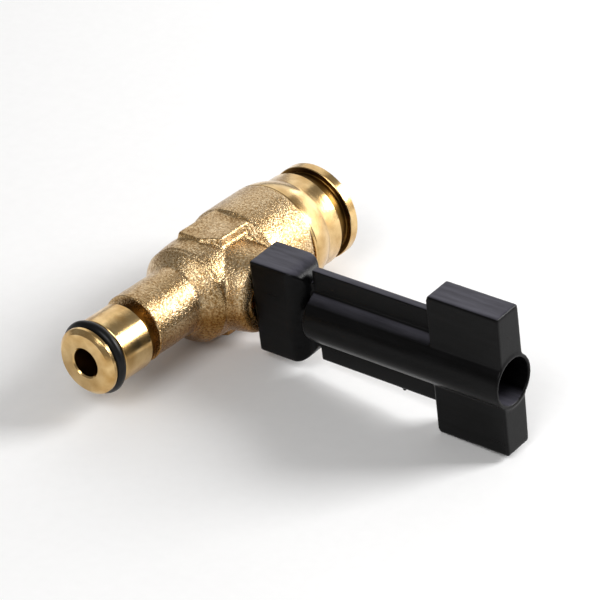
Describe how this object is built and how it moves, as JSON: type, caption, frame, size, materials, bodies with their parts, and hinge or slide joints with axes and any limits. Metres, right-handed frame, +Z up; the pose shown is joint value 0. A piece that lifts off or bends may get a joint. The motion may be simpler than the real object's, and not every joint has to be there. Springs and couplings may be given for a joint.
{
  "type": "boiler filling valve",
  "caption": "Forged brass screw-down filling valve with a clip-in spigot at each end of the run, a check cartridge in the inlet and a long winged black handle at the side.",
  "frame": {"origin": "centre of the inlet end face, on the axis of the run", "axes": "+Y out of the inlet along the run, +X out along the spindle and handle, +Z up"},
  "size_m": [0.0737, 0.063, 0.0274],
  "materials": {
    "forged_brass": "blasted forging, machined bright at both ends",
    "turned_brass": "turned",
    "seal_rubber": "smooth moulded nitrile",
    "washer_rubber": "matt moulded",
    "handle_plastic": "satin black glass-filled nylon",
    "cartridge_plastic": "moulded acetal",
    "guide_plastic": "moulded acetal",
    "steel": "bright stainless"
  },
  "bodies": {
    "valve": {"valve_body": "forged_brass", "outlet_o_ring": "seal_rubber", "gland_bush": "turned_brass", "check_housing": "cartridge_plastic", "housing_ring": "seal_rubber", "poppet_guide": "guide_plastic", "check_spring": "steel", "strainer": "steel", "retaining_ring": "steel"},
    "washer_carrier": {"jumper": "turned_brass", "seat_washer": "washer_rubber", "washer_nut": "turned_brass"},
    "handle_and_spindle": {"handle": "handle_plastic", "spindle": "turned_brass", "spindle_ring_low": "seal_rubber", "spindle_ring_high": "seal_rubber", "screw_washer": "steel", "handle_screw": "steel"},
    "check_poppet": {"poppet": "guide_plastic", "poppet_seal": "seal_rubber"}
  },
  "joints": [
    {"name": "washer_lift", "type": "slide", "parent": "valve", "child": "washer_carrier", "axis": [1, 0, 0], "range_m": [0, 0.00126]},
    {"name": "handle_turn", "type": "hinge", "parent": "washer_carrier", "child": "handle_and_spindle", "pos_m": [0, -0.0289, 0], "axis": [1, 0, 0], "range_deg": [0, 360]},
    {"name": "poppet_open", "type": "slide", "parent": "valve", "child": "check_poppet", "axis": [0, -1, 0], "range_m": [0, 0.0025], "stiffness_N_per_m": 40, "springref_m": -0.004, "deforming": ["check_spring"]}
  ],
  "couplings": [
    {"joint": "washer_lift", "follows": "handle_turn", "m_per_rad": 0.00019894}
  ]
}
